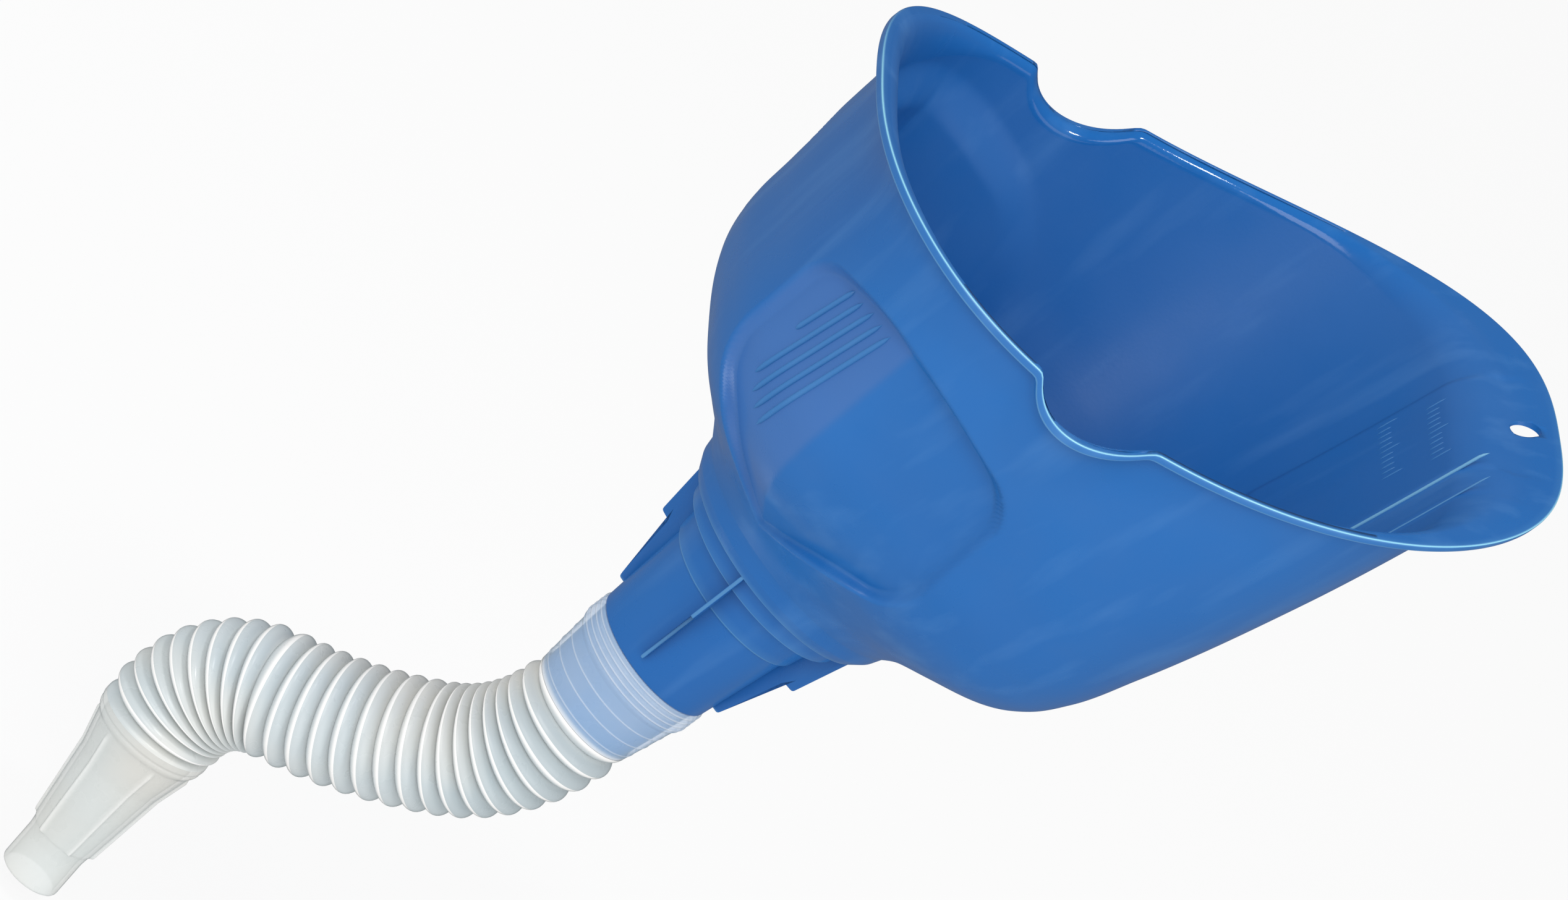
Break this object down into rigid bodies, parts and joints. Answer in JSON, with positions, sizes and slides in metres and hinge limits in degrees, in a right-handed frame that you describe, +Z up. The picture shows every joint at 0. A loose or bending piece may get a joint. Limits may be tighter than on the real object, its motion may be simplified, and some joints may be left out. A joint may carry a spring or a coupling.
{
  "type": "fuel funnel",
  "caption": "Large-mouth fuel funnel: blue square-round bowl with slanted rim, pour notches, grips and hang hole, on a milky flexible corrugated spout with a tapered nozzle.",
  "frame": {"origin": "on the neck axis in the straight throat where the funnel's neck meets its spout", "axes": "+Z up the neck axis towards the mouth; +X towards the tall end of the rim that carries the hang hole"},
  "size_m": [0.2, 0.192, 0.425],
  "materials": {
    "blue_polyethylene": "glossy",
    "milky_polyethylene": "satin"
  },
  "bodies": {
    "funnel": {"funnel_body": "blue_polyethylene"},
    "cuff": {"spout_cuff": "milky_polyethylene"},
    "fold_00": {"fold_00": "milky_polyethylene"},
    "convolution_01": {"convolution_01": "milky_polyethylene"},
    "fold_01": {"fold_01": "milky_polyethylene"},
    "convolution_02": {"convolution_02": "milky_polyethylene"},
    "fold_02": {"fold_02": "milky_polyethylene"},
    "convolution_03": {"convolution_03": "milky_polyethylene"},
    "fold_03": {"fold_03": "milky_polyethylene"},
    "convolution_04": {"convolution_04": "milky_polyethylene"},
    "fold_04": {"fold_04": "milky_polyethylene"},
    "convolution_05": {"convolution_05": "milky_polyethylene"},
    "fold_05": {"fold_05": "milky_polyethylene"},
    "convolution_06": {"convolution_06": "milky_polyethylene"},
    "fold_06": {"fold_06": "milky_polyethylene"},
    "convolution_07": {"convolution_07": "milky_polyethylene"},
    "fold_07": {"fold_07": "milky_polyethylene"},
    "convolution_08": {"convolution_08": "milky_polyethylene"},
    "fold_08": {"fold_08": "milky_polyethylene"},
    "convolution_09": {"convolution_09": "milky_polyethylene"},
    "fold_09": {"fold_09": "milky_polyethylene"},
    "convolution_10": {"convolution_10": "milky_polyethylene"},
    "fold_10": {"fold_10": "milky_polyethylene"},
    "convolution_11": {"convolution_11": "milky_polyethylene"},
    "fold_11": {"fold_11": "milky_polyethylene"},
    "convolution_12": {"convolution_12": "milky_polyethylene"},
    "fold_12": {"fold_12": "milky_polyethylene"},
    "convolution_13": {"convolution_13": "milky_polyethylene"},
    "fold_13": {"fold_13": "milky_polyethylene"},
    "convolution_14": {"convolution_14": "milky_polyethylene"},
    "fold_14": {"fold_14": "milky_polyethylene"},
    "convolution_15": {"convolution_15": "milky_polyethylene"},
    "fold_15": {"fold_15": "milky_polyethylene"},
    "convolution_16": {"convolution_16": "milky_polyethylene"},
    "fold_16": {"fold_16": "milky_polyethylene"},
    "convolution_17": {"convolution_17": "milky_polyethylene"},
    "fold_17": {"fold_17": "milky_polyethylene"},
    "convolution_18": {"convolution_18": "milky_polyethylene"},
    "fold_18": {"fold_18": "milky_polyethylene"},
    "convolution_19": {"convolution_19": "milky_polyethylene"},
    "fold_19": {"fold_19": "milky_polyethylene"},
    "convolution_20": {"convolution_20": "milky_polyethylene"},
    "fold_20": {"fold_20": "milky_polyethylene"},
    "convolution_21": {"convolution_21": "milky_polyethylene"},
    "fold_21": {"fold_21": "milky_polyethylene"},
    "convolution_22": {"convolution_22": "milky_polyethylene"},
    "fold_22": {"fold_22": "milky_polyethylene"},
    "convolution_23": {"convolution_23": "milky_polyethylene"},
    "fold_23": {"fold_23": "milky_polyethylene"},
    "convolution_24": {"convolution_24": "milky_polyethylene"},
    "fold_24": {"fold_24": "milky_polyethylene"},
    "nozzle": {"nozzle": "milky_polyethylene"}
  },
  "joints": [
    {"name": "swivel", "type": "hinge", "parent": "funnel", "child": "cuff", "pos_m": [0, 0, 0], "axis": [0, 0, 1], "continuous": true},
    {"name": "bend_near", "type": "hinge", "parent": "cuff", "child": "fold_00", "pos_m": [0, 0, -0.0295], "axis": [0.4493, 0.8934, 0], "range_deg": [-11, 2.5]},
    {"name": "sway", "type": "hinge", "parent": "fold_00", "child": "convolution_01", "pos_m": [0, 0, -0.0295], "axis": [0.893, -0.4491, -0.0305], "range_deg": [-2.4, 2.4]},
    {"name": "bend_near_01", "type": "hinge", "parent": "convolution_01", "child": "fold_01", "pos_m": [-0.00033, 0.00017, -0.03553], "axis": [0.4493, 0.8934, 0], "range_deg": [-11, 2.5]},
    {"name": "sway_01", "type": "hinge", "parent": "fold_01", "child": "convolution_02", "pos_m": [-0.00033, 0.00017, -0.03553], "axis": [0.8896, -0.4474, -0.0915], "range_deg": [-2.4, 2.4]},
    {"name": "bend_near_02", "type": "hinge", "parent": "convolution_02", "child": "fold_02", "pos_m": [-0.00099, 0.0005, -0.04152], "axis": [0.4493, 0.8934, 0], "range_deg": [-11, 2.5]},
    {"name": "sway_02", "type": "hinge", "parent": "fold_02", "child": "convolution_03", "pos_m": [-0.00099, 0.0005, -0.04152], "axis": [0.8799, -0.4426, -0.1728], "range_deg": [-2.4, 2.4]},
    {"name": "bend_near_03", "type": "hinge", "parent": "convolution_03", "child": "fold_03", "pos_m": [-0.00203, 0.00102, -0.04664], "axis": [0.4493, 0.8934, 0], "range_deg": [-11, 2.5]},
    {"name": "sway_03", "type": "hinge", "parent": "fold_03", "child": "convolution_04", "pos_m": [-0.00203, 0.00102, -0.04664], "axis": [0.8594, -0.4322, -0.2731], "range_deg": [-2.4, 2.4]},
    {"name": "bend_near_04", "type": "hinge", "parent": "convolution_04", "child": "fold_04", "pos_m": [-0.00355, 0.00178, -0.05161], "axis": [0.4493, 0.8934, 0], "range_deg": [-11, 2.5]},
    {"name": "sway_04", "type": "hinge", "parent": "fold_04", "child": "convolution_05", "pos_m": [-0.00355, 0.00178, -0.05161], "axis": [0.8298, -0.4173, -0.3706], "range_deg": [-2.4, 2.4]},
    {"name": "bend_near_05", "type": "hinge", "parent": "convolution_05", "child": "fold_05", "pos_m": [-0.00551, 0.00277, -0.05639], "axis": [0.4493, 0.8934, 0], "range_deg": [-11, 2.5]},
    {"name": "sway_05", "type": "hinge", "parent": "fold_05", "child": "convolution_06", "pos_m": [-0.00551, 0.00277, -0.05639], "axis": [0.7913, -0.398, -0.4641], "range_deg": [-2.4, 2.4]},
    {"name": "bend_near_06", "type": "hinge", "parent": "convolution_06", "child": "fold_06", "pos_m": [-0.0079, 0.00397, -0.06091], "axis": [0.4493, 0.8934, 0], "range_deg": [-11, 2.5]},
    {"name": "sway_06", "type": "hinge", "parent": "fold_06", "child": "convolution_07", "pos_m": [-0.0079, 0.00397, -0.06091], "axis": [0.7445, -0.3745, -0.5527], "range_deg": [-2.4, 2.4]},
    {"name": "bend_near_07", "type": "hinge", "parent": "convolution_07", "child": "fold_07", "pos_m": [-0.01069, 0.00538, -0.06513], "axis": [0.4493, 0.8934, 0], "range_deg": [-11, 2.5]},
    {"name": "sway_07", "type": "hinge", "parent": "fold_07", "child": "convolution_08", "pos_m": [-0.01069, 0.00538, -0.06513], "axis": [0.6898, -0.347, -0.6354], "range_deg": [-2.4, 2.4]},
    {"name": "bend_mid", "type": "hinge", "parent": "convolution_08", "child": "fold_08", "pos_m": [-0.01386, 0.00697, -0.06902], "axis": [0.4493, 0.8934, 0], "range_deg": [-9.5, 5.5]},
    {"name": "sway_08", "type": "hinge", "parent": "fold_08", "child": "convolution_09", "pos_m": [-0.01386, 0.00697, -0.06902], "axis": [0.648, -0.3259, -0.6884], "range_deg": [-2.4, 2.4]},
    {"name": "bend_mid_09", "type": "hinge", "parent": "convolution_09", "child": "fold_09", "pos_m": [-0.01791, 0.00901, -0.07362], "axis": [0.4493, 0.8934, 0], "range_deg": [-9.5, 5.5]},
    {"name": "sway_09", "type": "hinge", "parent": "fold_09", "child": "convolution_10", "pos_m": [-0.01791, 0.00901, -0.07362], "axis": [0.6239, -0.3138, -0.7157], "range_deg": [-2.4, 2.4]},
    {"name": "bend_mid_10", "type": "hinge", "parent": "convolution_10", "child": "fold_10", "pos_m": [-0.02212, 0.01112, -0.07804], "axis": [0.4493, 0.8934, 0], "range_deg": [-9.5, 5.5]},
    {"name": "sway_10", "type": "hinge", "parent": "fold_10", "child": "convolution_11", "pos_m": [-0.02212, 0.01112, -0.07804], "axis": [0.5989, -0.3012, -0.742], "range_deg": [-2.4, 2.4]},
    {"name": "bend_mid_11", "type": "hinge", "parent": "convolution_11", "child": "fold_11", "pos_m": [-0.02647, 0.01332, -0.08228], "axis": [0.4493, 0.8934, 0], "range_deg": [-9.5, 5.5]},
    {"name": "sway_11", "type": "hinge", "parent": "fold_11", "child": "convolution_12", "pos_m": [-0.02647, 0.01332, -0.08228], "axis": [0.5731, -0.2882, -0.7672], "range_deg": [-2.4, 2.4]},
    {"name": "bend_mid_12", "type": "hinge", "parent": "convolution_12", "child": "fold_12", "pos_m": [-0.03097, 0.01558, -0.08633], "axis": [0.4493, 0.8934, 0], "range_deg": [-9.5, 5.5]},
    {"name": "sway_12", "type": "hinge", "parent": "fold_12", "child": "convolution_13", "pos_m": [-0.03097, 0.01558, -0.08633], "axis": [0.5463, -0.2748, -0.7912], "range_deg": [-2.4, 2.4]},
    {"name": "bend_mid_13", "type": "hinge", "parent": "convolution_13", "child": "fold_13", "pos_m": [-0.03561, 0.01791, -0.09018], "axis": [0.4493, 0.8934, 0], "range_deg": [-9.5, 5.5]},
    {"name": "sway_13", "type": "hinge", "parent": "fold_13", "child": "convolution_14", "pos_m": [-0.03561, 0.01791, -0.09018], "axis": [0.5188, -0.2609, -0.8141], "range_deg": [-2.4, 2.4]},
    {"name": "bend_mid_14", "type": "hinge", "parent": "convolution_14", "child": "fold_14", "pos_m": [-0.04037, 0.0203, -0.09383], "axis": [0.4493, 0.8934, 0], "range_deg": [-9.5, 5.5]},
    {"name": "sway_14", "type": "hinge", "parent": "fold_14", "child": "convolution_15", "pos_m": [-0.04037, 0.0203, -0.09383], "axis": [0.4905, -0.2467, -0.8358], "range_deg": [-2.4, 2.4]},
    {"name": "bend_mid_15", "type": "hinge", "parent": "convolution_15", "child": "fold_15", "pos_m": [-0.04526, 0.02276, -0.09728], "axis": [0.4493, 0.8934, 0], "range_deg": [-9.5, 5.5]},
    {"name": "sway_15", "type": "hinge", "parent": "fold_15", "child": "convolution_16", "pos_m": [-0.04526, 0.02276, -0.09728], "axis": [0.4615, -0.2321, -0.8563], "range_deg": [-2.4, 2.4]},
    {"name": "bend_tip", "type": "hinge", "parent": "convolution_16", "child": "fold_16", "pos_m": [-0.05026, 0.02528, -0.10051], "axis": [0.4493, 0.8934, 0], "range_deg": [-0.9, 16.5]},
    {"name": "sway_16", "type": "hinge", "parent": "fold_16", "child": "convolution_17", "pos_m": [-0.05026, 0.02528, -0.10051], "axis": [0.5041, -0.2535, -0.8256], "range_deg": [-2.4, 2.4]},
    {"name": "bend_tip_17", "type": "hinge", "parent": "convolution_17", "child": "fold_17", "pos_m": [-0.05328, 0.0268, -0.10322], "axis": [0.4493, 0.8934, 0], "range_deg": [-0.9, 16.5]},
    {"name": "sway_17", "type": "hinge", "parent": "fold_17", "child": "convolution_18", "pos_m": [-0.05328, 0.0268, -0.10322], "axis": [0.6098, -0.3067, -0.7308], "range_deg": [-2.4, 2.4]},
    {"name": "bend_tip_18", "type": "hinge", "parent": "convolution_18", "child": "fold_18", "pos_m": [-0.05591, 0.02812, -0.10642], "axis": [0.4493, 0.8934, 0], "range_deg": [-0.9, 16.5]},
    {"name": "sway_18", "type": "hinge", "parent": "fold_18", "child": "convolution_19", "pos_m": [-0.05591, 0.02812, -0.10642], "axis": [0.7016, -0.3529, -0.6191], "range_deg": [-2.4, 2.4]},
    {"name": "bend_tip_19", "type": "hinge", "parent": "convolution_19", "child": "fold_19", "pos_m": [-0.05807, 0.02921, -0.11002], "axis": [0.4493, 0.8934, 0], "range_deg": [-0.9, 16.5]},
    {"name": "sway_19", "type": "hinge", "parent": "fold_19", "child": "convolution_20", "pos_m": [-0.05807, 0.02921, -0.11002], "axis": [0.7772, -0.3909, -0.4932], "range_deg": [-2.4, 2.4]},
    {"name": "bend_tip_20", "type": "hinge", "parent": "convolution_20", "child": "fold_20", "pos_m": [-0.05972, 0.03004, -0.11395], "axis": [0.4493, 0.8934, 0], "range_deg": [-0.9, 16.5]},
    {"name": "sway_20", "type": "hinge", "parent": "fold_20", "child": "convolution_21", "pos_m": [-0.05972, 0.03004, -0.11395], "axis": [0.8349, -0.4199, -0.3559], "range_deg": [-2.4, 2.4]},
    {"name": "bend_tip_21", "type": "hinge", "parent": "convolution_21", "child": "fold_21", "pos_m": [-0.06082, 0.03059, -0.11811], "axis": [0.4493, 0.8934, 0], "range_deg": [-0.9, 16.5]},
    {"name": "sway_21", "type": "hinge", "parent": "fold_21", "child": "convolution_22", "pos_m": [-0.06082, 0.03059, -0.11811], "axis": [0.8734, -0.4393, -0.2105], "range_deg": [-2.4, 2.4]},
    {"name": "bend_tip_22", "type": "hinge", "parent": "convolution_22", "child": "fold_22", "pos_m": [-0.06135, 0.03086, -0.12241], "axis": [0.4493, 0.8934, 0], "range_deg": [-0.9, 16.5]},
    {"name": "sway_22", "type": "hinge", "parent": "fold_22", "child": "convolution_23", "pos_m": [-0.06135, 0.03086, -0.12241], "axis": [0.8918, -0.4485, -0.0602], "range_deg": [-2.4, 2.4]},
    {"name": "bend_tip_23", "type": "hinge", "parent": "convolution_23", "child": "fold_23", "pos_m": [-0.06129, 0.03082, -0.12675], "axis": [0.4493, 0.8934, 0], "range_deg": [-0.9, 16.5]},
    {"name": "sway_23", "type": "hinge", "parent": "fold_23", "child": "convolution_24", "pos_m": [-0.06129, 0.03082, -0.12675], "axis": [0.8919, -0.4486, 0.0576], "range_deg": [-2.4, 2.4]},
    {"name": "bend_tip_24", "type": "hinge", "parent": "convolution_24", "child": "fold_24", "pos_m": [-0.06079, 0.03057, -0.13233], "axis": [0.4493, 0.8934, 0], "range_deg": [-0.9, 16.5]},
    {"name": "sway_24", "type": "hinge", "parent": "fold_24", "child": "nozzle", "pos_m": [-0.06079, 0.03057, -0.13233], "axis": [0.8845, -0.4448, 0.1409], "range_deg": [-2.4, 2.4]}
  ],
  "couplings": [
    {"joint": "bend_near_01", "follows": "bend_near", "ratio": 1},
    {"joint": "sway_01", "follows": "sway", "ratio": 1},
    {"joint": "bend_near_02", "follows": "bend_near", "ratio": 1},
    {"joint": "sway_02", "follows": "sway", "ratio": 1},
    {"joint": "bend_near_03", "follows": "bend_near", "ratio": 1},
    {"joint": "sway_03", "follows": "sway", "ratio": 1},
    {"joint": "bend_near_04", "follows": "bend_near", "ratio": 1},
    {"joint": "sway_04", "follows": "sway", "ratio": 1},
    {"joint": "bend_near_05", "follows": "bend_near", "ratio": 1},
    {"joint": "sway_05", "follows": "sway", "ratio": 1},
    {"joint": "bend_near_06", "follows": "bend_near", "ratio": 1},
    {"joint": "sway_06", "follows": "sway", "ratio": 1},
    {"joint": "bend_near_07", "follows": "bend_near", "ratio": 1},
    {"joint": "sway_07", "follows": "sway", "ratio": 1},
    {"joint": "sway_08", "follows": "sway", "ratio": 1},
    {"joint": "bend_mid_09", "follows": "bend_mid", "ratio": 1},
    {"joint": "sway_09", "follows": "sway", "ratio": 1},
    {"joint": "bend_mid_10", "follows": "bend_mid", "ratio": 1},
    {"joint": "sway_10", "follows": "sway", "ratio": 1},
    {"joint": "bend_mid_11", "follows": "bend_mid", "ratio": 1},
    {"joint": "sway_11", "follows": "sway", "ratio": 1},
    {"joint": "bend_mid_12", "follows": "bend_mid", "ratio": 1},
    {"joint": "sway_12", "follows": "sway", "ratio": 1},
    {"joint": "bend_mid_13", "follows": "bend_mid", "ratio": 1},
    {"joint": "sway_13", "follows": "sway", "ratio": 1},
    {"joint": "bend_mid_14", "follows": "bend_mid", "ratio": 1},
    {"joint": "sway_14", "follows": "sway", "ratio": 1},
    {"joint": "bend_mid_15", "follows": "bend_mid", "ratio": 1},
    {"joint": "sway_15", "follows": "sway", "ratio": 1},
    {"joint": "sway_16", "follows": "sway", "ratio": 1},
    {"joint": "bend_tip_17", "follows": "bend_tip", "ratio": 1},
    {"joint": "sway_17", "follows": "sway", "ratio": 1},
    {"joint": "bend_tip_18", "follows": "bend_tip", "ratio": 1},
    {"joint": "sway_18", "follows": "sway", "ratio": 1},
    {"joint": "bend_tip_19", "follows": "bend_tip", "ratio": 1},
    {"joint": "sway_19", "follows": "sway", "ratio": 1},
    {"joint": "bend_tip_20", "follows": "bend_tip", "ratio": 1},
    {"joint": "sway_20", "follows": "sway", "ratio": 1},
    {"joint": "bend_tip_21", "follows": "bend_tip", "ratio": 1},
    {"joint": "sway_21", "follows": "sway", "ratio": 1},
    {"joint": "bend_tip_22", "follows": "bend_tip", "ratio": 1},
    {"joint": "sway_22", "follows": "sway", "ratio": 1},
    {"joint": "bend_tip_23", "follows": "bend_tip", "ratio": 1},
    {"joint": "sway_23", "follows": "sway", "ratio": 1},
    {"joint": "bend_tip_24", "follows": "bend_tip", "ratio": 1},
    {"joint": "sway_24", "follows": "sway", "ratio": 1}
  ]
}
